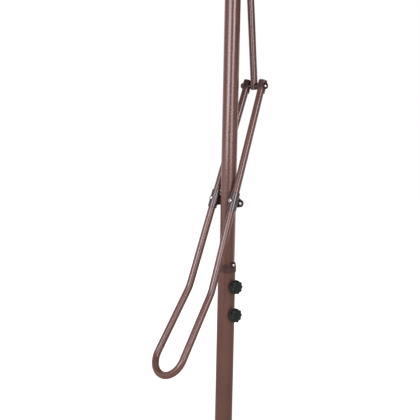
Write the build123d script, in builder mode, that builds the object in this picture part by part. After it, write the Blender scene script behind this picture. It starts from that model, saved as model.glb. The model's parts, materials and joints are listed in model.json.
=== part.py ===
from build123d import *
from math import asin, atan, cos, radians, sin
import os

# Mast section of a cantilever patio umbrella, with its hairpin lever handle and push strut.
# Millimetres. +Z runs up the mast, the origin is the centre of the base flange's lower face.
# The pivot bolt, link bolt, collar bolt and star knobs all lie along Y. "Near" is the -Y side.

os.makedirs("parts", exist_ok=True)

# ---- driving dimensions ----
LOWER_POLE_R = 27.5          # 55 mm tube
LOWER_BORE_R = 26.0
UPPER_POLE_R = 24.0          # 48 mm tube
UPPER_BORE_R = 22.5
TUBE_R = 11.0                # 22 mm tube of the handle and of the strut
TUBE_BORE_R = 9.6

FLANGE_R = 70.0
FLANGE_T = 8.0
FLANGE_BOLT_CIRCLE_R = 55.0
FLANGE_HOLE_R = 5.5
FLANGE_SOCKET_R = 33.0
FLANGE_SOCKET_H = 14.0

JOINT_Z = 550.0              # where the lower pole ends, inside the joint collar
COLLAR_R = 29.6
COLLAR_BOLT_Z = JOINT_Z + 14.0
UPPER_KNOB_Z = JOINT_Z - 53.5
LOWER_KNOB_Z = JOINT_Z - 143.5
PIVOT_Z = JOINT_Z + 209.0
UPPER_POLE_FOOT_Z = 370.0
UPPER_POLE_TOP_Z = 1400.0

HANDLE_TILT = 18.7           # upper legs from vertical, in degrees
LOWER_TILT = 31.6            # legs below the bend
LEG_OFFSET = 19.5            # leg centre line to pivot axis
LEG_HALF_GAP = 43.2          # leg centre line to the middle plane, at the pivot
UPPER_SPLAY = 0.027          # widening of each leg per mm of length, above the bend
LOWER_SPLAY = 0.034          # the same below the bend
LINK_REACH = 370.0           # pivot station to link bolt, along the leg
BEND_REACH = 283.0           # pivot station to bend, along the leg
LOWER_LEG = 218.0            # bend to start of the loop
BEND_RADIUS = 130.0

STRUT_TILT = 5.6             # strut leans this much towards the mast
STRUT_LENGTH = 298.0         # link bolt to upper bolt hole
STRUT_END = 12.0             # tube end beyond each bolt hole

GAP = 0.05                   # between pieces fixed to each other
RUN = 0.05                   # radial running clearance on a hinge pin
CLEAR = 0.3                  # between pieces that pass each other

SMALL_BOLT_R = 3.0           # M6 bolts of the collar and the link
SMALL_BOLT_END = 4.2         # bolt end beyond its far seat
SMALL_HEAD_R = 5.0
SMALL_HEAD_H = 3.2
SMALL_WELL_R = 5.3           # well of the ring, round the head
SMALL_NUT_AF = 10.0
SMALL_NUT_H = 3.2            # thin nut
SMALL_CAP_R = 8.2
SMALL_CAP_BORE_R = 6.2
SMALL_CAP_DEPTH = 4.5
SMALL_CAP_H = 6.6

PIVOT_BOLT_R = 4.0           # M8 bolt of the pivot
PIVOT_BOLT_END = 8.0
PIVOT_HEAD_R = 5.6
PIVOT_HEAD_H = 3.4
PIVOT_WELL_R = 5.9
PIVOT_NUT_AF = 13.0
PIVOT_NUT_H = 6.8
PIVOT_CAP_R = 10.0
PIVOT_CAP_BORE_R = 7.8
PIVOT_CAP_DEPTH = 8.4
PIVOT_CAP_H = 11.0

RING_FLOOR = 1.2             # thickness of a bolt ring under the head


# ---- shared geometry ----
TILT = radians(HANDLE_TILT)
BELOW = radians(LOWER_TILT)
LEAN = radians(STRUT_TILT)
LEG_UP = Vector(sin(TILT), 0, cos(TILT))
LEG_OUT = Vector(-cos(TILT), 0, sin(TILT))
LEG_DOWN = Vector(-sin(BELOW), 0, -cos(BELOW))
STRUT_UP = Vector(-sin(LEAN), 0, cos(LEAN))
PIVOT = Vector(0, 0, PIVOT_Z)
LEG_STATION = PIVOT + LEG_OUT * LEG_OFFSET
LINK = LEG_STATION + LEG_UP * LINK_REACH
LINK_HALF_GAP = LEG_HALF_GAP - UPPER_SPLAY * LINK_REACH
BEND_HALF_GAP = LEG_HALF_GAP + UPPER_SPLAY * BEND_REACH
LOOP_HALF_GAP = BEND_HALF_GAP + LOWER_SPLAY * LOWER_LEG
SIDES = {"near": 1, "far": -1}


def leg_point(reach, side):
    """A point on the centre line of the near (1) or far (-1) upper leg."""
    return LEG_STATION + LEG_UP * reach + Vector(0, -side * (LEG_HALF_GAP - UPPER_SPLAY * reach), 0)


def leg_plane(reach, side):
    """A plane square to a leg, with its X axis pointing away from the mast."""
    along = leg_point(reach + 1, side) - leg_point(reach, side)
    return Plane(origin=leg_point(reach, side), x_dir=LEG_OUT, z_dir=along)


def cross_plane(centre, y):
    """A plane square to Y through a bolt axis, facing the near side."""
    return Plane(origin=(centre.X, y, centre.Z), x_dir=(1, 0, 0), z_dir=(0, -1, 0))


def screw_plane(side):
    """A plane through a leg at the pivot station, facing away from the mast."""
    return Plane(origin=leg_point(0, side), x_dir=(0, 1, 0), z_dir=LEG_OUT)


def axis_plane(centre):
    """A plane that holds a bolt axis: local X runs along Y, local Y is the radius."""
    return Plane(origin=(centre.X, 0, centre.Z), x_dir=(0, 1, 0), z_dir=(1, 0, 0))


def dome_middle(rim_r, rise):
    """Height and radius of the point halfway round a spherical dome of this rim and rise."""
    sphere_r = (rim_r**2 + rise**2) / (2 * rise)
    half_turn = asin(rim_r / sphere_r) / 2
    return rise - sphere_r * (1 - cos(half_turn)), sphere_r * sin(half_turn)


def coach_bolt(centre, seat, tip, shank_r, head_r, head_h):
    """A domed-head bolt along Y: the head's seat at the near side, the tip at the far side."""
    rim = seat - 0.35 * head_h
    middle_rise, middle_r = dome_middle(head_r, 0.65 * head_h)
    with BuildPart() as bolt:
        with BuildSketch(axis_plane(centre)):
            with BuildLine():
                Polyline(
                    (seat - head_h, 0),
                    (tip, 0),
                    (tip, shank_r - 0.8),
                    (tip - 0.8, shank_r),
                    (seat, shank_r),
                    (seat, head_r),
                    (rim, head_r),
                )
                ThreePointArc((rim, head_r), (rim - middle_rise, middle_r), (seat - head_h, 0))
            make_face()
        revolve(axis=Axis((centre.X, 0, centre.Z), (0, 1, 0)))
    return bolt


def bolt_ring(centre, seat, ring_r, well_r, shank_r, height):
    """A round plastic cup washer that frames a bolt head on the near side."""
    with BuildPart() as ring:
        with BuildSketch(cross_plane(centre, seat)):
            Circle(ring_r)
            Circle(shank_r + GAP, mode=Mode.SUBTRACT)
        extrude(amount=height)
        with BuildSketch(cross_plane(centre, seat - RING_FLOOR)):
            Circle(well_r)
        extrude(amount=height, mode=Mode.SUBTRACT)
        rims = ring.faces().sort_by(Axis.Y)[0].edges()
        fillet(rims, radius=1.0)
    return ring


def hex_nut(centre, seat, across_flats, height, shank_r):
    """A hexagon nut on a far bolt end."""
    with BuildPart() as nut:
        with BuildSketch(cross_plane(centre, seat)):
            RegularPolygon(across_flats / 2, 6, major_radius=False)
            Circle(shank_r + GAP, mode=Mode.SUBTRACT)
        extrude(amount=-height)
    return nut


def nut_cap(centre, seat, outer_r, bore_r, depth, height):
    """A plastic cap over a nut and bolt end on the far side, domed above its bore."""
    shoulder = seat + depth
    middle_rise, middle_r = dome_middle(outer_r, height - depth)
    with BuildPart() as cap:
        with BuildSketch(axis_plane(centre)):
            with BuildLine():
                Polyline(
                    (seat + height, 0),
                    (seat + depth, 0),
                    (seat + depth, bore_r),
                    (seat, bore_r),
                    (seat, outer_r),
                    (shoulder, outer_r),
                )
                ThreePointArc(
                    (shoulder, outer_r),
                    (shoulder + middle_rise, middle_r),
                    (seat + height, 0),
                )
            make_face()
        revolve(axis=Axis((centre.X, 0, centre.Z), (0, 1, 0)))
    return cap


# ---- base flange, with the welded socket ring around the pole ----
with BuildPart() as base_flange:
    with BuildSketch():
        Circle(FLANGE_R)
        with PolarLocations(FLANGE_BOLT_CIRCLE_R, 4, start_angle=45):
            Circle(FLANGE_HOLE_R, mode=Mode.SUBTRACT)
    extrude(amount=FLANGE_T)
    with BuildSketch(Plane.XY.offset(FLANGE_T)):
        Circle(FLANGE_SOCKET_R)
        Circle(LOWER_POLE_R + GAP, mode=Mode.SUBTRACT)
    extrude(amount=FLANGE_SOCKET_H)
    socket_rim = base_flange.faces().sort_by(Axis.Z)[-1].edges().sort_by(SortBy.RADIUS)[-1]
    chamfer(socket_rim, length=4.0)
    plate_rim = base_flange.edges().filter_by(GeomType.CIRCLE).sort_by(SortBy.RADIUS)[-2:]
    chamfer(plate_rim, length=1.0)
base_flange.part.label = "base_flange"
export_step(base_flange.part, "parts/base_flange.step")


# ---- lower pole, with a hole for each knob stud ----
BUSH_LIP_Z = JOINT_Z + 0.5   # top edge of the lower pole
STUD_R = 5.0
STUD_HOLE_R = 5.3
KNOB_HEIGHTS = {"upper": UPPER_KNOB_Z, "lower": LOWER_KNOB_Z}

with BuildPart() as lower_pole:
    with BuildSketch(Plane.XY.offset(FLANGE_T)):
        Circle(LOWER_POLE_R)
        Circle(LOWER_BORE_R, mode=Mode.SUBTRACT)
    extrude(amount=BUSH_LIP_Z - FLANGE_T)
    for height in KNOB_HEIGHTS.values():
        with Locations(cross_plane(Vector(0, 0, height), -LOWER_POLE_R - 1)):
            Hole(STUD_HOLE_R, depth=LOWER_POLE_R)
lower_pole.part.label = "lower_pole"
export_step(lower_pole.part, "parts/lower_pole.step")


# ---- plastic bush that the upper pole turns in ----
BUSH_LENGTH = 38.0
BUSH_LIP_H = 2.5

with BuildPart() as joint_bush:
    with BuildSketch(Plane.XY.offset(BUSH_LIP_Z - BUSH_LENGTH)):
        Circle(LOWER_BORE_R - GAP)
    extrude(amount=BUSH_LENGTH)
    with BuildSketch(Plane.XY.offset(BUSH_LIP_Z)):
        Circle(LOWER_POLE_R - 0.2)
    extrude(amount=BUSH_LIP_H)
    with BuildSketch(Plane.XY.offset(BUSH_LIP_Z - BUSH_LENGTH)):
        Circle(UPPER_POLE_R + RUN)
    extrude(amount=BUSH_LENGTH + BUSH_LIP_H, mode=Mode.SUBTRACT)
joint_bush.part.label = "joint_bush"
export_step(joint_bush.part, "parts/joint_bush.step")


# ---- threaded bosses welded to the lower pole, and the star knobs that screw into them ----
BOSS_R = 9.0
BOSS_FACE = 33.0             # distance of the boss face from the mast axis
KNOB_BACK = 35.5             # back of the lobes
KNOB_FACE = 52.5
KNOB_CORE_R = 19.6
KNOB_LOBE_R = 4.2
KNOB_LOBE_CIRCLE_R = 17.9
KNOB_LOBES = 9
KNOB_NECK_R = 11.0
STUD_DEPTH = 11.0            # stud length moulded into the head

for name, height in KNOB_HEIGHTS.items():
    centre = Vector(0, 0, height)

    with BuildPart() as boss:
        with BuildSketch(cross_plane(centre, -BOSS_FACE)):
            Circle(BOSS_R)
        extrude(amount=-BOSS_FACE)
        fillet(boss.edges().group_by(Axis.Y)[0], radius=1.2)
        with BuildSketch(Plane.XY.offset(height - 2 * BOSS_R)):
            Circle(LOWER_POLE_R + GAP)
        extrude(amount=4 * BOSS_R, mode=Mode.SUBTRACT)
        with Locations(cross_plane(centre, -BOSS_FACE)):
            Hole(STUD_R + RUN)
    boss.part.label = f"{name}_knob_boss"
    export_step(boss.part, f"parts/{name}_knob_boss.step")

    with BuildPart() as knob_head:
        with BuildSketch(cross_plane(centre, -KNOB_BACK)):
            Circle(KNOB_CORE_R)
            with PolarLocations(KNOB_LOBE_CIRCLE_R, KNOB_LOBES):
                Circle(KNOB_LOBE_R)
        extrude(amount=KNOB_FACE - KNOB_BACK)
        fillet(knob_head.faces().sort_by(Axis.Y)[0].edges(), radius=2.2)
        fillet(knob_head.faces().sort_by(Axis.Y)[-1].edges(), radius=1.2)
        with BuildSketch(cross_plane(centre, -BOSS_FACE - CLEAR)):
            Circle(KNOB_NECK_R)
        extrude(amount=KNOB_BACK - BOSS_FACE - CLEAR)
        with BuildSketch(cross_plane(centre, -BOSS_FACE)):
            Circle(STUD_R + GAP)
        extrude(amount=KNOB_BACK + STUD_DEPTH - BOSS_FACE, mode=Mode.SUBTRACT)
    knob_head.part.label = f"{name}_knob_head"
    export_step(knob_head.part, f"parts/{name}_knob_head.step")

    with BuildPart() as knob_stud:
        with BuildSketch(cross_plane(centre, -UPPER_POLE_R - CLEAR)):
            Circle(STUD_R)
        extrude(amount=KNOB_BACK + STUD_DEPTH - GAP - UPPER_POLE_R - CLEAR)
        chamfer(knob_stud.edges().filter_by(GeomType.CIRCLE), length=0.8)
    knob_stud.part.label = f"{name}_knob_stud"
    export_step(knob_stud.part, f"parts/{name}_knob_stud.step")


# ---- upper pole, with its pivot and collar bolt holes ----
COLLAR_BOLT = Vector(0, 0, COLLAR_BOLT_Z)

with BuildPart() as upper_pole:
    with BuildSketch(Plane.XY.offset(UPPER_POLE_FOOT_Z)):
        Circle(UPPER_POLE_R)
        Circle(UPPER_BORE_R, mode=Mode.SUBTRACT)
    extrude(amount=UPPER_POLE_TOP_Z - UPPER_POLE_FOOT_Z)
    with Locations(cross_plane(PIVOT, 0)):
        Hole(PIVOT_BOLT_R + GAP)
    with Locations(cross_plane(COLLAR_BOLT, 0)):
        Hole(SMALL_BOLT_R + GAP)
upper_pole.part.label = "upper_pole"
export_step(upper_pole.part, "parts/upper_pole.step")


# ---- plastic foot that closes the upper pole and centres it in the lower pole ----
FOOT_DISC_H = 10.0
FOOT_SPIGOT = 28.0

with BuildPart() as pole_foot_plug:
    with BuildSketch(Plane.XY.offset(UPPER_POLE_FOOT_Z - FOOT_DISC_H)):
        Circle(LOWER_BORE_R - RUN)
    extrude(amount=FOOT_DISC_H)
    chamfer(pole_foot_plug.edges().group_by(Axis.Z)[0], length=1.0)
    with BuildSketch(Plane.XY.offset(UPPER_POLE_FOOT_Z)):
        Circle(UPPER_BORE_R - GAP)
        Circle(UPPER_BORE_R - 3, mode=Mode.SUBTRACT)
    extrude(amount=FOOT_SPIGOT)
pole_foot_plug.part.label = "pole_foot_plug"
export_step(pole_foot_plug.part, "parts/pole_foot_plug.step")


# ---- plastic lined socket in the upper pole's open end ----
TOP_BORE_R = 19.0
TOP_SOCKET = 60.0
TOP_LIP_H = 3.0

with BuildPart() as mast_top_bush:
    with BuildSketch(Plane.XY.offset(UPPER_POLE_TOP_Z - TOP_SOCKET)):
        Circle(UPPER_BORE_R - GAP)
    extrude(amount=TOP_SOCKET)
    with BuildSketch(Plane.XY.offset(UPPER_POLE_TOP_Z)):
        Circle(UPPER_POLE_R)
    extrude(amount=TOP_LIP_H)
    fillet(mast_top_bush.edges().group_by(Axis.Z)[-1], radius=1.0)
    with BuildSketch(Plane.XY.offset(UPPER_POLE_TOP_Z - TOP_SOCKET)):
        Circle(TOP_BORE_R)
    extrude(amount=TOP_SOCKET + TOP_LIP_H, mode=Mode.SUBTRACT)
mast_top_bush.part.label = "mast_top_bush"
export_step(mast_top_bush.part, "parts/mast_top_bush.step")


# ---- joint collar: bolted to the upper pole, its skirt covers the lower pole's edge ----
COLLAR_FOOT_Z = JOINT_Z - 10.5
COLLAR_SHOULDER_Z = JOINT_Z + 7.5
COLLAR_NECK_Z = JOINT_Z + 10.0
COLLAR_TOP_Z = JOINT_Z + 18.0
COLLAR_STEP_Z = BUSH_LIP_Z + BUSH_LIP_H + CLEAR
COLLAR_NECK_R = 27.4
COLLAR_BOSS_R = 9.5
COLLAR_BOSS_FACE = 29.6
COLLAR_H = COLLAR_TOP_Z - COLLAR_FOOT_Z

with BuildPart() as joint_collar:
    with BuildSketch(Plane.XZ):
        with BuildLine():
            Polyline(
                (0, COLLAR_FOOT_Z),
                (COLLAR_R, COLLAR_FOOT_Z),
                (COLLAR_R, COLLAR_SHOULDER_Z),
                (COLLAR_NECK_R, COLLAR_NECK_Z),
                (COLLAR_NECK_R, COLLAR_TOP_Z),
                (0, COLLAR_TOP_Z),
                close=True,
            )
        make_face()
    revolve(axis=Axis.Z)
    fillet(joint_collar.edges().group_by(Axis.Z)[-1], radius=1.2)
    fillet(joint_collar.edges().group_by(Axis.Z)[0], radius=0.8)
    with BuildSketch(cross_plane(COLLAR_BOLT, -COLLAR_BOSS_FACE)):
        Circle(COLLAR_BOSS_R)
    extrude(amount=-2 * COLLAR_BOSS_FACE)
    with BuildSketch(Plane.XY.offset(COLLAR_FOOT_Z)):
        Circle(LOWER_POLE_R + 0.4)
    extrude(amount=COLLAR_STEP_Z - COLLAR_FOOT_Z, mode=Mode.SUBTRACT)
    with BuildSketch(Plane.XY.offset(COLLAR_FOOT_Z)):
        Circle(UPPER_POLE_R + GAP)
    extrude(amount=2 * COLLAR_H, mode=Mode.SUBTRACT)
    with Locations(cross_plane(COLLAR_BOLT, 0)):
        Hole(SMALL_BOLT_R + GAP)
joint_collar.part.label = "joint_collar"
export_step(joint_collar.part, "parts/joint_collar.step")


# ---- collar bolt, its ring, nut and cap ----
COLLAR_RING_R = 8.5
COLLAR_RING_H = 3.0

collar_bolt = coach_bolt(
    COLLAR_BOLT,
    -COLLAR_BOSS_FACE - RING_FLOOR - GAP,
    COLLAR_BOSS_FACE + SMALL_BOLT_END,
    SMALL_BOLT_R,
    SMALL_HEAD_R,
    SMALL_HEAD_H,
)
collar_bolt.part.label = "collar_bolt"
export_step(collar_bolt.part, "parts/collar_bolt.step")

collar_bolt_ring = bolt_ring(
    COLLAR_BOLT, -COLLAR_BOSS_FACE, COLLAR_RING_R, SMALL_WELL_R, SMALL_BOLT_R, COLLAR_RING_H
)
collar_bolt_ring.part.label = "collar_bolt_ring"
export_step(collar_bolt_ring.part, "parts/collar_bolt_ring.step")

collar_nut = hex_nut(COLLAR_BOLT, COLLAR_BOSS_FACE, SMALL_NUT_AF, SMALL_NUT_H, SMALL_BOLT_R)
collar_nut.part.label = "collar_nut"
export_step(collar_nut.part, "parts/collar_nut.step")

collar_nut_cap = nut_cap(
    COLLAR_BOLT, COLLAR_BOSS_FACE, SMALL_CAP_R, SMALL_CAP_BORE_R, SMALL_CAP_DEPTH, SMALL_CAP_H
)
collar_nut_cap.part.label = "collar_nut_cap"
export_step(collar_nut_cap.part, "parts/collar_nut_cap.step")


# ---- pivot saddles: spacers shaped to the mast, flat towards the clamps ----
SADDLE_R = 14.5
SADDLE_FACE = 28.2

for name, side in SIDES.items():
    with BuildPart() as saddle:
        with BuildSketch(cross_plane(PIVOT, 0)):
            Circle(SADDLE_R)
        extrude(amount=side * SADDLE_FACE)
        fillet(saddle.faces().sort_by(Axis.Y)[-1 if side < 0 else 0].edges(), radius=0.8)
        with BuildSketch(Plane.XY.offset(PIVOT_Z - 2 * SADDLE_R)):
            Circle(UPPER_POLE_R + GAP)
        extrude(amount=4 * SADDLE_R, mode=Mode.SUBTRACT)
        with Locations(cross_plane(PIVOT, 0)):
            Hole(PIVOT_BOLT_R + GAP)
    saddle.part.label = f"{name}_pivot_saddle"
    export_step(saddle.part, f"parts/{name}_pivot_saddle.step")


# ---- pivot bolt, its ring, nut and cap ----
EAR_FACE = 52.9              # outer face of each clamp's ear
PIVOT_RING_R = 11.0
PIVOT_RING_H = 3.8
PIVOT_SEAT = EAR_FACE + CLEAR

pivot_bolt = coach_bolt(
    PIVOT,
    -PIVOT_SEAT - RING_FLOOR - GAP,
    PIVOT_SEAT + PIVOT_BOLT_END,
    PIVOT_BOLT_R,
    PIVOT_HEAD_R,
    PIVOT_HEAD_H,
)
pivot_bolt.part.label = "pivot_bolt"
export_step(pivot_bolt.part, "parts/pivot_bolt.step")

pivot_bolt_ring = bolt_ring(
    PIVOT, -PIVOT_SEAT, PIVOT_RING_R, PIVOT_WELL_R, PIVOT_BOLT_R, PIVOT_RING_H
)
pivot_bolt_ring.part.label = "pivot_bolt_ring"
export_step(pivot_bolt_ring.part, "parts/pivot_bolt_ring.step")

pivot_nut = hex_nut(PIVOT, PIVOT_SEAT, PIVOT_NUT_AF, PIVOT_NUT_H, PIVOT_BOLT_R)
pivot_nut.part.label = "pivot_nut"
export_step(pivot_nut.part, "parts/pivot_nut.step")

pivot_nut_cap = nut_cap(
    PIVOT, PIVOT_SEAT, PIVOT_CAP_R, PIVOT_CAP_BORE_R, PIVOT_CAP_DEPTH, PIVOT_CAP_H
)
pivot_nut_cap.part.label = "pivot_nut_cap"
export_step(pivot_nut_cap.part, "parts/pivot_nut_cap.step")


# ---- hairpin handle tube ----
TUBE_TOP = LINK_REACH + 14.5  # tube end, inside the end cap
CLAMP_SCREW_R = 2.5
LOOP_TURN = atan(LOWER_SPLAY)
LOOP_RADIUS = LOOP_HALF_GAP / cos(LOOP_TURN)


def lower_point(reach, half_gap):
    """A point in the plane of the bent lower legs, on the near side."""
    return LEG_STATION - LEG_UP * BEND_REACH + LEG_DOWN * reach + Vector(0, -half_gap, 0)


with BuildPart() as handle_tube:
    with BuildLine() as handle_path:
        near_leg = FilletPolyline(
            leg_point(TUBE_TOP, 1),
            lower_point(0, BEND_HALF_GAP),
            lower_point(LOWER_LEG, LOOP_HALF_GAP),
            radius=BEND_RADIUS,
        )
        loop_bottom = lower_point(LOWER_LEG + LOOP_RADIUS * (1 + sin(LOOP_TURN)), 0)
        ThreePointArc(near_leg @ 1, loop_bottom, lower_point(LOWER_LEG, -LOOP_HALF_GAP))
        mirror(near_leg, about=Plane.XZ)
    with BuildSketch(leg_plane(TUBE_TOP, 1)):
        Circle(TUBE_R)
        Circle(TUBE_BORE_R, mode=Mode.SUBTRACT)
    sweep(path=handle_path.wires()[0])
    with Locations(cross_plane(LINK, 0)):
        Hole(SMALL_BOLT_R + GAP)
    for side in SIDES.values():
        with Locations(screw_plane(side)):
            Hole(CLAMP_SCREW_R + GAP)
handle_tube.part.label = "handle_tube"
export_step(handle_tube.part, "parts/handle_tube.step")


# ---- pivot clamps: grooved sleeves on the legs, with an ear on the pivot bolt ----
SLEEVE_R = 14.0
SLEEVE_HALF = 27.5
GROOVES = 10
GROOVE_R = 1.1
FIRST_GROOVE = 12            # degrees from the side away from the mast
RIM_R = 13.3                 # plain band round each end of the sleeve
RIM_H = 2.5
EAR_R = 12.0
EAR_ROOT_R = 5.0
EAR_ROOT_REACH = 14.0
EAR_INNER = SADDLE_FACE + CLEAR
EAR_ROUND = 1.2
SCREW_PAD_R = 7.6
SCREW_PAD_FACE = 15.4
SCREW_TIP = 13.0             # beyond the leg centre line, short of the pivot bolt
SCREW_HEAD_R = 6.4
SCREW_HEAD_H = 3.0
CROSS_SPAN = 5.6             # cross recess in the head
CROSS_WIDTH = 1.1
CROSS_DEPTH = 1.8

for name, side in SIDES.items():
    leg_foot = leg_plane(-SLEEVE_HALF, side)
    screw = screw_plane(side)

    with BuildPart() as clamp:
        with BuildSketch(cross_plane(Vector(0, 0, 0), -side * EAR_INNER)):
            for reach in (-EAR_ROOT_REACH, EAR_ROOT_REACH):
                root = LEG_STATION + LEG_UP * reach
                with Locations((root.X, root.Z)):
                    Circle(EAR_ROOT_R)
            with Locations((PIVOT.X, PIVOT.Z)):
                Circle(EAR_R)
            make_hull()
        extrude(amount=side * (EAR_FACE - EAR_INNER))
        fillet(clamp.faces().filter_by(Axis.Y).edges(), radius=EAR_ROUND)
        with BuildSketch(leg_foot):
            Circle(SLEEVE_R)
            with PolarLocations(SLEEVE_R, GROOVES, start_angle=FIRST_GROOVE):
                Circle(GROOVE_R, mode=Mode.SUBTRACT)
        extrude(amount=2 * SLEEVE_HALF)
        for rim_plane in (leg_foot, leg_foot.offset(2 * SLEEVE_HALF - RIM_H)):
            with BuildSketch(rim_plane):
                Circle(RIM_R)
            extrude(amount=RIM_H)
        with BuildSketch(screw):
            Circle(SCREW_PAD_R)
        extrude(amount=SCREW_PAD_FACE)
        with BuildSketch(leg_foot.offset(-1)):
            Circle(TUBE_R + GAP)
        extrude(amount=2 * SLEEVE_HALF + 2, mode=Mode.SUBTRACT)
        with BuildSketch(cross_plane(PIVOT, -side * EAR_FACE)):
            Circle(PIVOT_RING_R + CLEAR)
        extrude(amount=side * SLEEVE_R, mode=Mode.SUBTRACT)
        with Locations(screw.offset(SCREW_PAD_FACE)):
            Hole(CLAMP_SCREW_R + GAP, depth=SCREW_PAD_FACE + SCREW_TIP + GAP)
        with Locations(cross_plane(PIVOT, 0)):
            Hole(PIVOT_BOLT_R + RUN)
    clamp.part.label = f"{name}_clamp"
    export_step(clamp.part, f"parts/{name}_clamp.step")

    with BuildPart() as clamp_screw:
        with BuildSketch(screw.offset(-SCREW_TIP)):
            Circle(CLAMP_SCREW_R)
        extrude(amount=SCREW_TIP + SCREW_PAD_FACE)
        with BuildSketch(screw.offset(SCREW_PAD_FACE)):
            Circle(SCREW_HEAD_R)
        extrude(amount=SCREW_HEAD_H)
        outer_rim = clamp_screw.edges().group_by(Axis(leg_point(0, side), LEG_OUT))[-1]
        fillet(outer_rim, radius=0.85 * SCREW_HEAD_H)
        with BuildSketch(screw.offset(SCREW_PAD_FACE + SCREW_HEAD_H)):
            Rectangle(CROSS_SPAN, CROSS_WIDTH)
            Rectangle(CROSS_WIDTH, CROSS_SPAN)
        extrude(amount=-CROSS_DEPTH, taper=10, mode=Mode.SUBTRACT)
    clamp_screw.part.label = f"{name}_clamp_screw"
    export_step(clamp_screw.part, f"parts/{name}_clamp_screw.step")


# ---- end caps on the leg tops, bored for the link bolt ----
CAP_R = 13.6
CAP_ABOVE = 18.0             # cap top above the bolt, along the leg
CAP_LONG_SIDE = 22.0         # skirt below the bolt on the mast foot's side
CAP_SHORT_SIDE = 7.0         # skirt below the bolt on the opposite side
CAP_WALL = 3.0
CAP_BOSS_R = 10.0
CAP_INNER = 18.6             # inner boss face from the middle plane
CAP_BOSS_H = 15.0            # outer boss face from the leg's centre line
CAP_OUTER = LINK_HALF_GAP + CAP_BOSS_H

SKIRT_MIDDLE = (CAP_LONG_SIDE + CAP_SHORT_SIDE) / 2
SKIRT_NORMAL = LEG_UP * (2 * CAP_R) - LEG_OUT * (CAP_LONG_SIDE - CAP_SHORT_SIDE)

for name, side in SIDES.items():
    cap_foot = leg_plane(LINK_REACH - CAP_LONG_SIDE, side)
    with BuildPart() as end_cap:
        with BuildSketch(cap_foot):
            Circle(CAP_R)
        extrude(amount=CAP_LONG_SIDE + CAP_ABOVE)
        fillet(end_cap.edges().group_by(Axis.Z)[-1], radius=2.4)
        split(bisect_by=Plane(origin=leg_point(LINK_REACH - SKIRT_MIDDLE, side), z_dir=SKIRT_NORMAL))
        with BuildSketch(cross_plane(LINK, -side * CAP_INNER)):
            Circle(CAP_BOSS_R)
        extrude(amount=side * (CAP_OUTER - CAP_INNER))
        with BuildSketch(cap_foot.offset(-1)):
            Circle(TUBE_R + GAP)
        extrude(amount=CAP_LONG_SIDE + CAP_ABOVE - CAP_WALL + 1, mode=Mode.SUBTRACT)
        with Locations(cross_plane(LINK, 0)):
            Hole(SMALL_BOLT_R + GAP)
    end_cap.part.label = f"{name}_end_cap"
    export_step(end_cap.part, f"parts/{name}_end_cap.step")


# ---- link bolt, its ring, nut and cap ----
LINK_RING_R = 9.5
LINK_RING_H = 3.6

link_bolt = coach_bolt(
    LINK,
    -CAP_OUTER - RING_FLOOR - GAP,
    CAP_OUTER + SMALL_BOLT_END,
    SMALL_BOLT_R,
    SMALL_HEAD_R,
    SMALL_HEAD_H,
)
link_bolt.part.label = "link_bolt"
export_step(link_bolt.part, "parts/link_bolt.step")

link_bolt_ring = bolt_ring(LINK, -CAP_OUTER, LINK_RING_R, SMALL_WELL_R, SMALL_BOLT_R, LINK_RING_H)
link_bolt_ring.part.label = "link_bolt_ring"
export_step(link_bolt_ring.part, "parts/link_bolt_ring.step")

link_nut = hex_nut(LINK, CAP_OUTER, SMALL_NUT_AF, SMALL_NUT_H, SMALL_BOLT_R)
link_nut.part.label = "link_nut"
export_step(link_nut.part, "parts/link_nut.step")

link_nut_cap = nut_cap(
    LINK, CAP_OUTER, SMALL_CAP_R, SMALL_CAP_BORE_R, SMALL_CAP_DEPTH, SMALL_CAP_H
)
link_nut_cap.part.label = "link_nut_cap"
export_step(link_nut_cap.part, "parts/link_nut_cap.step")


# ---- push strut, its end plugs and the spacers beside its lower end ----
STRUT_HEAD = LINK + STRUT_UP * STRUT_LENGTH
HEAD_HOLE_R = 4.1
PLUG_R = TUBE_BORE_R - GAP
PLUG_LENGTH = 34.0
PLUG_LIP = 2.6
SPACER_R = 9.4
SPACER_FACE = CAP_INNER - CLEAR


def strut_plane(reach):
    """A plane square to the strut, this far above the link bolt."""
    return Plane(origin=LINK + STRUT_UP * reach, x_dir=(0, 1, 0), z_dir=STRUT_UP)


with BuildPart() as strut_tube:
    with BuildSketch(strut_plane(PLUG_LIP - STRUT_END)):
        Circle(TUBE_R)
        Circle(TUBE_BORE_R, mode=Mode.SUBTRACT)
    extrude(amount=STRUT_LENGTH + 2 * (STRUT_END - PLUG_LIP))
    with Locations(cross_plane(LINK, 0)):
        Hole(SMALL_BOLT_R + RUN)
    with Locations(cross_plane(STRUT_HEAD, 0)):
        Hole(HEAD_HOLE_R)
strut_tube.part.label = "strut_tube"
export_step(strut_tube.part, "parts/strut_tube.step")

STRUT_PLUGS = {
    "strut_lower_plug": (PLUG_LIP - STRUT_END, -1, LINK, SMALL_BOLT_R + RUN),
    "strut_top_plug": (STRUT_LENGTH + STRUT_END - PLUG_LIP, 1, STRUT_HEAD, HEAD_HOLE_R),
}
for name, (reach, outward, hole_centre, hole_r) in STRUT_PLUGS.items():
    with BuildPart() as plug:
        with BuildSketch(strut_plane(reach)):
            Circle(TUBE_R)
        extrude(amount=outward * PLUG_LIP)
        lip_edges = plug.edges().filter_by(GeomType.CIRCLE).sort_by(Axis(LINK, STRUT_UP))
        fillet(lip_edges[-1 if outward > 0 else 0], radius=2.2)
        with BuildSketch(strut_plane(reach)):
            Circle(PLUG_R)
        extrude(amount=-outward * PLUG_LENGTH)
        with Locations(cross_plane(hole_centre, 0)):
            Hole(hole_r)
    plug.part.label = name
    export_step(plug.part, f"parts/{name}.step")

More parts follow.
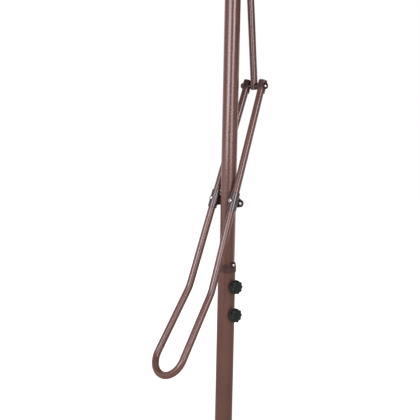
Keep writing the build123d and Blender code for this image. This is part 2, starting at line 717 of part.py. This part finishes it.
for name, side in SIDES.items():
    with BuildPart() as spacer:
        with BuildSketch(cross_plane(LINK, 0)):
            Circle(SPACER_R)
        extrude(amount=side * SPACER_FACE)
        with BuildSketch(strut_plane(-2 * SPACER_R)):
            Circle(TUBE_R + GAP)
        extrude(amount=4 * SPACER_R, mode=Mode.SUBTRACT)
        with Locations(cross_plane(LINK, 0)):
            Hole(SMALL_BOLT_R + RUN)
    spacer.part.label = f"{name}_link_spacer"
    export_step(spacer.part, f"parts/{name}_link_spacer.step")
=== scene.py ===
import bmesh
import bpy
import json
import math
from mathutils import Matrix, Vector


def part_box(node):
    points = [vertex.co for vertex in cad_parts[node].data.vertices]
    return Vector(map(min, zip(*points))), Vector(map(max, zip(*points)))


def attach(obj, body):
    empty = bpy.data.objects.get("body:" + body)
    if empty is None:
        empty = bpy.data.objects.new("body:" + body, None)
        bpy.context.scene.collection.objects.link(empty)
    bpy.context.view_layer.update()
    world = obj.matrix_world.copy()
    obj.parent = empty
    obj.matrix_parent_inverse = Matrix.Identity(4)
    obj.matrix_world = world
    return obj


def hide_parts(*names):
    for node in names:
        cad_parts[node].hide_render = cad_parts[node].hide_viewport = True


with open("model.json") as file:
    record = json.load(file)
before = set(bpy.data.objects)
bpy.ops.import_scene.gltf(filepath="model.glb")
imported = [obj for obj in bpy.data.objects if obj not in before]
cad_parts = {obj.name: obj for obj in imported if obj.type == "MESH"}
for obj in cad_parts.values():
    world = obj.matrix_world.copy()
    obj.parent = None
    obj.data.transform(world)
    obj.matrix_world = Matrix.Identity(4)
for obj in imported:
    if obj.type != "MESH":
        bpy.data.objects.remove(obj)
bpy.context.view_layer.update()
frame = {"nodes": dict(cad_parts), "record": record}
NODES = frame["nodes"]
MM = 0.001


# ---- places and sizes read from the frame ----
def middle(node):
    """The middle of a node's box."""
    low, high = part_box(node)
    return (low + high) / 2


def half_size(node):
    """Half of a node's box."""
    low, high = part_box(node)
    return (high - low) / 2


POLE_R = half_size("lower_pole").x


# ---- camera: the eye-level studio view from the front left ----
CAMERA_AZIMUTH = math.radians(-42)
CAMERA_ELEVATION = math.radians(7.79)
CAMERA_ROLL = math.radians(1.09)
CAMERA_DISTANCE = 2.405
CAMERA_AIM_Z = 0.732
CAMERA_LEFT = 0.056            # aim point to the left of the mast
CAMERA_LENS = 66.55
SENSOR_WIDTH = 36
NEAREST_SEEN = 0.05
FARTHEST_SEEN = 100

toward_camera = Vector((
    math.sin(CAMERA_AZIMUTH) * math.cos(CAMERA_ELEVATION),
    -math.cos(CAMERA_AZIMUTH) * math.cos(CAMERA_ELEVATION),
    math.sin(CAMERA_ELEVATION),
))
camera_right = Vector((math.cos(CAMERA_AZIMUTH), math.sin(CAMERA_AZIMUTH), 0))
camera_up = toward_camera.cross(camera_right)


def make_camera():
    data = bpy.data.cameras.new("camera")
    data.lens = CAMERA_LENS
    data.sensor_width = SENSOR_WIDTH
    data.clip_start = NEAREST_SEEN
    data.clip_end = FARTHEST_SEEN
    camera = bpy.data.objects.new("camera", data)
    bpy.context.scene.collection.objects.link(camera)
    aim = Vector((0, 0, CAMERA_AIM_Z)) - camera_right * CAMERA_LEFT
    axes = Matrix((camera_right, camera_up, toward_camera)).transposed()
    turn = axes @ Matrix.Rotation(CAMERA_ROLL, 3, "Z")
    camera.matrix_world = Matrix.Translation(aim + toward_camera * CAMERA_DISTANCE) @ turn.to_4x4()
    bpy.context.scene.camera = camera


# ---- material helpers ----
def new_material(name, colour, roughness, metallic=0.0):
    material = bpy.data.materials.new(name)
    material.use_nodes = True
    shader = material.node_tree.nodes["Principled BSDF"]
    shader.inputs["Base Color"].default_value = (*colour, 1)
    shader.inputs["Roughness"].default_value = roughness
    shader.inputs["Metallic"].default_value = metallic
    return material, material.node_tree, shader


def place(tree):
    """Texture coordinates that stay with the piece, in metres."""
    return tree.nodes.new("ShaderNodeTexCoord").outputs["Object"]


def noise(tree, vector, per_metre, detail):
    node = tree.nodes.new("ShaderNodeTexNoise")
    node.inputs["Scale"].default_value = per_metre
    node.inputs["Detail"].default_value = detail
    tree.links.new(vector, node.inputs["Vector"])
    return node.outputs["Fac"]


def remap(tree, value, spread, new_spread):
    """Spreads are pairs: least and greatest."""
    node = tree.nodes.new("ShaderNodeMapRange")
    ends = ("From Min", "From Max", "To Min", "To Max")
    for end, number in zip(ends, (*spread, *new_spread)):
        node.inputs[end].default_value = number
    tree.links.new(value, node.inputs["Value"])
    return node.outputs["Result"]


def blend_colours(tree, factor, first, second):
    node = tree.nodes.new("ShaderNodeMix")
    node.data_type = "RGBA"
    tree.links.new(factor, node.inputs["Factor"])
    for colour, name in ((first, "A"), (second, "B")):
        socket = [s for s in node.inputs if s.name == name and s.type == "RGBA"][0]
        socket.default_value = (*colour, 1)
    return [s for s in node.outputs if s.type == "RGBA"][0]


def bump(tree, height, depth):
    node = tree.nodes.new("ShaderNodeBump")
    node.inputs["Strength"].default_value = 1.0
    node.inputs["Distance"].default_value = depth
    tree.links.new(height, node.inputs["Height"])
    return node.outputs["Normal"]


# ---- stage and light ----
WHITE = (1, 1, 1)
ROOM_GLOW = 0.02
BACKDROP_GLOW = 1.0

FLOOR_COLOUR = (0.70, 0.62, 0.54)
FLOOR_ROUGHNESS = 0.9
FLOOR_GLOSS = 0.1
FLOOR_REACH = 30.0
FLOOR_GAP = 0.5 * MM            # under the flange
# The floor's glow is painted light: weakest beside the mast, it leaves a painted shade on the floor round
# the foot, and further off it keeps the floor white.
GLOW_REACH = (0.1, 1.2)         # distances from the mast between which the floor's glow grows
GLOW = (0.72, 1.0)

CEILING_Z = 4.0
CEILING_SIZE = 3.0
CEILING_RADIANCE = 0.5

STUDIO_RADIUS = 2.5
WARM_TINT = (1.0, 0.84, 0.78)   # of light from the floor's height
COOL_TINT = (1.0, 0.90, 1.0)    # of light from COOL_HEIGHT and above
COOL_HEIGHT = 1.4

# name: (bearing from the camera's side, right positive; width; bottom; top; radiance),
# the first two in degrees and the heights in metres
SOFTBOXES = {
    "strip_left": (-35, 30, 1.00, 1.75, 8.6),
    "strip_left_low": (-38, 28, 0.70, 1.00, 7.4),
    "strip_left_top": (-31, 40, 1.75, 2.20, 3.2),
    "strip_left_side": (-60, 14, 0.0, 2.20, 1.5),
    "strip_left_edge": (-17, 10, 1.05, 1.75, 2.2),
    "strip_right": (30, 24, 1.40, 2.20, 9.0),
    "strip_right_middle": (25, 24, 1.08, 1.40, 6.5),
    "strip_right_low": (24, 30, 0.70, 1.05, 5.2),
    "strip_right_foot": (25, 36, 0.35, 0.70, 1.9),
    "wall_left": (-90, 44, 0.0, 0.8, 1.0),
    "wall_left_top": (-90, 44, 0.8, 2.2, 0.35),
    "back_left": (-145, 60, 0.0, 2.2, 0.9),
    "wall_right": (83, 50, 0.0, 1.3, 0.5),
    "back_right": (142, 60, 0.0, 1.5, 0.95),
}


def area_light(name, place_at, toward, width, height, radiance, colour):
    """A rectangular light whose face looks along -toward."""
    data = bpy.data.lights.new(name, "AREA")
    data.shape = "RECTANGLE"
    data.size = width
    data.size_y = height
    data.energy = radiance * math.pi * width * height
    data.color = colour
    light = bpy.data.objects.new(name, data)
    light.location = place_at
    light.rotation_euler = toward.to_track_quat("Z", "Y").to_euler()
    bpy.context.scene.collection.objects.link(light)


def light_studio():
    for name, (bearing, spread, bottom, top, radiance) in SOFTBOXES.items():
        angle = CAMERA_AZIMUTH + math.radians(bearing)
        outward = Vector((math.sin(angle), -math.cos(angle), 0))
        place_at = outward * STUDIO_RADIUS + Vector((0, 0, (bottom + top) / 2))
        width = 2 * STUDIO_RADIUS * math.tan(math.radians(spread / 2))
        coolness = min(1, place_at.z / COOL_HEIGHT)
        tint = Vector(WARM_TINT).lerp(Vector(COOL_TINT), coolness)
        area_light(name, place_at, outward, width, top - bottom, radiance, tint)
    area_light(
        "ceiling", Vector((0, 0, CEILING_Z)), Vector((0, 0, 1)),
        CEILING_SIZE, CEILING_SIZE, CEILING_RADIANCE, WHITE,
    )


def make_world():
    world = bpy.data.worlds.new("studio")
    bpy.context.scene.world = world
    world.use_nodes = True
    nodes = world.node_tree.nodes
    links = world.node_tree.links
    nodes.clear()
    room = nodes.new("ShaderNodeBackground")
    room.inputs["Color"].default_value = (*WHITE, 1)
    room.inputs["Strength"].default_value = ROOM_GLOW
    backdrop = nodes.new("ShaderNodeBackground")
    backdrop.inputs["Color"].default_value = (*WHITE, 1)
    backdrop.inputs["Strength"].default_value = BACKDROP_GLOW
    path = nodes.new("ShaderNodeLightPath")
    mix = nodes.new("ShaderNodeMixShader")
    out = nodes.new("ShaderNodeOutputWorld")
    links.new(path.outputs["Is Camera Ray"], mix.inputs["Fac"])
    links.new(room.outputs[0], mix.inputs[1])
    links.new(backdrop.outputs[0], mix.inputs[2])
    links.new(mix.outputs[0], out.inputs["Surface"])


def make_floor():
    """A plain pale floor with a painted glow that only camera rays see: it isn't light on the part, and it
    keeps the floor as white as the backdrop. The glow is weaker near the mast, which paints the floor
    darker round the foot as painted shade.
    """
    material, tree, shader = new_material("floor_white", FLOOR_COLOUR, FLOOR_ROUGHNESS)
    shader.inputs["Specular IOR Level"].default_value = FLOOR_GLOSS
    shader.inputs["Emission Color"].default_value = (*WHITE, 1)
    distance = tree.nodes.new("ShaderNodeVectorMath")
    distance.operation = "LENGTH"
    tree.links.new(place(tree), distance.inputs[0])
    # painted glow, weaker near the mast: a painted darkening of the floor round the foot
    glow = remap(tree, distance.outputs["Value"], GLOW_REACH, GLOW)
    path = tree.nodes.new("ShaderNodeLightPath")
    seen = tree.nodes.new("ShaderNodeMath")
    seen.operation = "MULTIPLY"
    tree.links.new(glow, seen.inputs[0])
    tree.links.new(path.outputs["Is Camera Ray"], seen.inputs[1])
    tree.links.new(seen.outputs[0], shader.inputs["Emission Strength"])
    signs = ((-1, -1), (1, -1), (1, 1), (-1, 1))
    corners = [(x * FLOOR_REACH, y * FLOOR_REACH, 0) for x, y in signs]
    mesh = bpy.data.meshes.new("floor")
    mesh.from_pydata(corners, [], [(0, 1, 2, 3)])
    mesh.materials.append(material)
    floor = bpy.data.objects.new("floor", mesh)
    floor.location = (0, 0, -FLOOR_GAP)
    bpy.context.scene.collection.objects.link(floor)


def make_stage():
    bpy.context.scene.view_settings.view_transform = "Standard"
    make_world()
    make_floor()
    light_studio()


# ---- materials ----
POWDER_BROWN = (0.121, 0.061, 0.045)
FITTING_BROWN = (0.030, 0.016, 0.015)
COLLAR_BROWN = (0.066, 0.034, 0.030)
KNOB_CHARCOAL = (0.002, 0.012, 0.010)
RING_BLACK = (0.010, 0.009, 0.009)
CHROME_GREY = (0.88, 0.85, 0.85)
ZINC_GREY = (0.62, 0.62, 0.6)

# how the surfaces vary: pairs are least and greatest, scales are cells per metre
NOISE_MIDDLE = (0.3, 0.7)       # where most of a noise lies
COAT_DRIFT_SCALE = 9
COAT_DRIFT = (0.35, 0.65)
COAT_SHADES = (0.94, 1.07)      # shares of the colour
COAT_ROUGHNESS = (0.22, 0.26)
COAT_SKIN = 0.4                 # weight of the clear skin
COAT_SKIN_ROUGHNESS = 0.12
PEEL_SCALE = 700                # orange peel of the powder coat
PEEL_DEPTH = 0.012 * MM

PLASTIC_DRIFT_SCALE = 40
PLASTIC_SHADES = (0.8, 1.2)
PLASTIC_GLOSS_SCALE = 300
PLASTIC_GLOSS_SPREAD = 0.05     # roughness either side of the stated one
PLASTIC_SKIN_ROUGHNESS = 0.14
GRAIN_SCALE = 1600
FINE_GRAIN = 0.004 * MM
COARSE_GRAIN = 0.03 * MM        # of the knobs

POLISH_SCALE = 120
POLISH_SPREAD = (0.75, 1.3)     # shares of the roughness
PIT_SCALE = 2200
CHROME_PITS = 0.002 * MM
ZINC_PITS = 0.01 * MM
DRIFT_DETAIL = 3                # octaves of the slow noises
GRAIN_DETAIL = 2                # octaves of the fine ones


def shades(colour, shares):
    """The colour scaled by each share."""
    return [tuple(share * c for c in colour) for share in shares]


def powder_coat():
    """Satin brown powder coat: orange peel and a slow drift of tone and gloss."""
    material, tree, shader = new_material("powder_coat", POWDER_BROWN, COAT_ROUGHNESS[1])
    where = place(tree)
    drift = noise(tree, where, COAT_DRIFT_SCALE, DRIFT_DETAIL)
    patches = remap(tree, drift, COAT_DRIFT, (0, 1))
    tone = blend_colours(tree, patches, *shades(POWDER_BROWN, COAT_SHADES))
    tree.links.new(tone, shader.inputs["Base Color"])
    tree.links.new(remap(tree, drift, NOISE_MIDDLE, COAT_ROUGHNESS), shader.inputs["Roughness"])
    peel = noise(tree, where, PEEL_SCALE, GRAIN_DETAIL)
    tree.links.new(bump(tree, peel, PEEL_DEPTH), shader.inputs["Normal"])
    shader.inputs["Coat Weight"].default_value = COAT_SKIN
    shader.inputs["Coat Roughness"].default_value = COAT_SKIN_ROUGHNESS
    return material


def moulded_plastic(name, colour, roughness, grain_depth=FINE_GRAIN, polish=0.0):
    """Moulded plastic: a spark-eroded grain and a faint drift of tone. polish is a glossy skin's weight."""
    material, tree, shader = new_material(name, colour, roughness)
    shader.inputs["Coat Weight"].default_value = polish
    shader.inputs["Coat Roughness"].default_value = PLASTIC_SKIN_ROUGHNESS
    where = place(tree)
    drift = noise(tree, where, PLASTIC_DRIFT_SCALE, DRIFT_DETAIL)
    tone = blend_colours(tree, drift, *shades(colour, PLASTIC_SHADES))
    tree.links.new(tone, shader.inputs["Base Color"])
    gloss = noise(tree, where, PLASTIC_GLOSS_SCALE, GRAIN_DETAIL)
    spread = (roughness - PLASTIC_GLOSS_SPREAD, roughness + PLASTIC_GLOSS_SPREAD)
    tree.links.new(remap(tree, gloss, NOISE_MIDDLE, spread), shader.inputs["Roughness"])
    grain = noise(tree, where, GRAIN_SCALE, GRAIN_DETAIL)
    tree.links.new(bump(tree, grain, grain_depth), shader.inputs["Normal"])
    return material


def metal(name, colour, roughness, pit_depth):
    """Plated steel: an uneven polish and very fine pits."""
    material, tree, shader = new_material(name, colour, roughness, 1.0)
    where = place(tree)
    polish = noise(tree, where, POLISH_SCALE, DRIFT_DETAIL)
    spread = [share * roughness for share in POLISH_SPREAD]
    tree.links.new(remap(tree, polish, NOISE_MIDDLE, spread), shader.inputs["Roughness"])
    pits = noise(tree, where, PIT_SCALE, GRAIN_DETAIL)
    tree.links.new(bump(tree, pits, pit_depth), shader.inputs["Normal"])
    return material


def make_materials():
    return {
        "powder_coat": powder_coat(),
        "fitting_plastic": moulded_plastic("fitting_plastic", FITTING_BROWN, 0.22, polish=0.7),
        "collar_plastic": moulded_plastic("collar_plastic", COLLAR_BROWN, 0.3),
        "ring_plastic": moulded_plastic("ring_plastic", RING_BLACK, 0.34),
        "knob_plastic": moulded_plastic("knob_plastic", KNOB_CHARCOAL, 0.46, COARSE_GRAIN),
        "bush_plastic": moulded_plastic("bush_plastic", RING_BLACK, 0.5),
        "chrome": metal("chrome", CHROME_GREY, 0.33, CHROME_PITS),
        "zinc_steel": metal("zinc_steel", ZINC_GREY, 0.34, ZINC_PITS),
    }


def paint_cad_nodes(materials):
    """Gives every CAD node the material of its slot in the record."""
    for row in frame["record"]["subparts"]:
        node = NODES[row["node"]]
        node.data.materials.clear()
        node.data.materials.append(materials[row["material_slot"]])


# ---- mesh helpers ----
SMOOTH_ANGLE = math.radians(38)


def ring_piece(name, rings, material, closed=False):
    """A smooth skin through rings of points: its two ends are capped, or joined when closed."""
    mesh = bmesh.new()
    loops = [[mesh.verts.new(point) for point in ring] for ring in rings]
    followers = loops[1:] + ([loops[0]] if closed else [])
    for loop, follower in zip(loops, followers):
        for i, corner in enumerate(loop):
            j = (i + 1) % len(loop)
            mesh.faces.new((corner, loop[j], follower[j], follower[i]))
    if not closed:
        mesh.faces.new(loops[0])
        mesh.faces.new(loops[-1])
    bmesh.ops.recalc_face_normals(mesh, faces=mesh.faces)
    data = bpy.data.meshes.new(name)
    mesh.to_mesh(data)
    mesh.free()
    data.shade_smooth()
    data.set_sharp_from_angle(angle=SMOOTH_ANGLE)
    data.materials.append(material)
    piece = bpy.data.objects.new(name, data)
    bpy.context.scene.collection.objects.link(piece)
    return piece


# ---- star knobs: scalloped grip, softened rims and a shallow disc in the face ----
KNOB_LOBES = 9
STEPS_PER_LOBE = 20
SCALLOP_DEPTH = 2.9 * MM
LOBE_FULLNESS = 0.8            # below 1 the lobes are broad and the scallops narrow
KNOB_NECK_R = 11 * MM
NECK_EDGE = 0.3 * MM           # softening at both ends of the neck
NECK_FOOT = 1.2 * MM           # how far the neck flares where it meets the grip
NECK_START = 1.0 * MM          # where the flare ends, behind the grip
STUD_GAP = 0.05 * MM           # round the stud and at its end

# (radius, depth below the face), from the disc's middle outwards, in millimetres
KNOB_DISC = ((2.0, 0.9), (8.0, 0.9), (9.6, 0.85), (10.3, 0.5), (10.8, 0.12), (11.6, 0.0), (12.6, 0.0))
# (inset from the scalloped outline, depth below the face), over the rim and down the side
KNOB_GRIP = (
    (3.4, 0.12), (2.0, 0.55), (0.9, 1.25), (0.25, 2.4), (0.0, 4.0), (0.0, 8.0),
    (0.0, 12.0), (0.05, 14.6), (0.35, 15.9), (1.0, 16.7), (2.0, 17.0),
)


def knob_radius(angle, tip_r):
    """The scalloped outline: a lobe points along +X."""
    lobe = ((1 + math.cos(KNOB_LOBES * angle)) / 2) ** LOBE_FULLNESS
    return tip_r - SCALLOP_DEPTH * (1 - lobe)


def star_knob(name):
    """Stands for a CAD knob head, in the same place and at the same size."""
    node = name + "_head"
    low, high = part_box(node)
    tip_r = high.x
    axis_z = middle(node).z
    bore_r = half_size(name + "_stud").x + STUD_GAP
    bore_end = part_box(name + "_stud")[0].y - STUD_GAP - low.y
    count = KNOB_LOBES * STEPS_PER_LOBE
    angles = [2 * math.pi * step / count for step in range(count)]

    def ring(radius_at, depth):
        return [
            (radius_at(a) * math.cos(a), low.y + depth, axis_z + radius_at(a) * math.sin(a))
            for a in angles
        ]

    rings = [ring(lambda a, r=r: r * MM, depth * MM) for r, depth in KNOB_DISC]
    rings += [
        ring(lambda a, inset=inset: knob_radius(a, tip_r) - inset * MM, depth * MM)
        for inset, depth in KNOB_GRIP
    ]
    grip_back = KNOB_GRIP[-1][1] * MM
    neck_end = high.y - low.y
    for radius, depth in (
        (KNOB_NECK_R + NECK_FOOT, grip_back),
        (KNOB_NECK_R + NECK_EDGE, grip_back + NECK_EDGE),
        (KNOB_NECK_R, grip_back + NECK_START),
        (KNOB_NECK_R, neck_end - NECK_EDGE),
        (KNOB_NECK_R - NECK_EDGE, neck_end),
        (bore_r, neck_end),
        (bore_r, bore_end),
    ):
        rings.append(ring(lambda a, r=radius: r, depth))
    piece = ring_piece(name + "_grip", rings, MATERIALS["knob_plastic"])
    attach(piece, name)
    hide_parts(node)


# ---- weld beads: at the flange socket and round each knob boss ----
RIPPLE_PITCH = 2.3 * MM
RIPPLE_DEPTH = 0.09            # share of the bead's radius
BEAD_SIDES = 14
STEPS_PER_RIPPLE = 5
FLANGE_BEAD_R = 2.1 * MM
FLANGE_BEAD_OUT = 0.5 * MM     # from the pole's surface
FLANGE_BEAD_UP = 0.1 * MM      # from the socket's top
BOSS_BEAD_R = 1.4 * MM
BOSS_BEAD_OUT = 0.3 * MM       # from the boss's surface


def weld_bead(name, path, bead_r, length):
    """A rippled bead along a closed path; path(turn) gives a point and the way out of the corner."""
    ripples = round(length / RIPPLE_PITCH)
    count = ripples * STEPS_PER_RIPPLE
    rings = []
    for step in range(count):
        point, outward = path(2 * math.pi * step / count)
        ahead, _ = path(2 * math.pi * (step + 1) / count)
        along = (ahead - point).normalized()
        across = along.cross(outward).normalized()
        swell = 1 - RIPPLE_DEPTH * (step % STEPS_PER_RIPPLE) / STEPS_PER_RIPPLE
        rings.append([
            point + bead_r * swell * (math.cos(a) * outward + math.sin(a) * across)
            for a in (2 * math.pi * side / BEAD_SIDES for side in range(BEAD_SIDES))
        ])
    piece = ring_piece(name, rings, MATERIALS["powder_coat"], closed=True)
    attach(piece, "base")


def flange_weld():
    socket_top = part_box("base_flange")[1].z

    def path(turn):
        radial = Vector((math.cos(turn), math.sin(turn), 0))
        point = radial * (POLE_R + FLANGE_BEAD_OUT) + Vector((0, 0, socket_top + FLANGE_BEAD_UP))
        return point, (radial + Vector((0, 0, 1))).normalized()

    weld_bead("flange_weld_bead", path, FLANGE_BEAD_R, 2 * math.pi * POLE_R)


def boss_weld(name):
    boss = name + "_boss"
    boss_r = half_size(boss).x
    boss_z = middle(boss).z

    def path(turn):
        x = (boss_r + BOSS_BEAD_OUT) * math.cos(turn)
        z = (boss_r + BOSS_BEAD_OUT) * math.sin(turn)
        y = -math.sqrt(POLE_R ** 2 - x ** 2)
        pole_normal = Vector((x, y, 0)) / POLE_R
        from_boss = Vector((math.cos(turn), 0, math.sin(turn)))
        return Vector((x, y, boss_z + z)), (pole_normal + from_boss).normalized()

    weld_bead(boss + "_weld_bead", path, BOSS_BEAD_R, 2 * math.pi * boss_r)


make_camera()
make_stage()
MATERIALS = make_materials()
paint_cad_nodes(MATERIALS)
for knob in ("upper_knob", "lower_knob"):
    star_knob(knob)
    boss_weld(knob)
flange_weld()
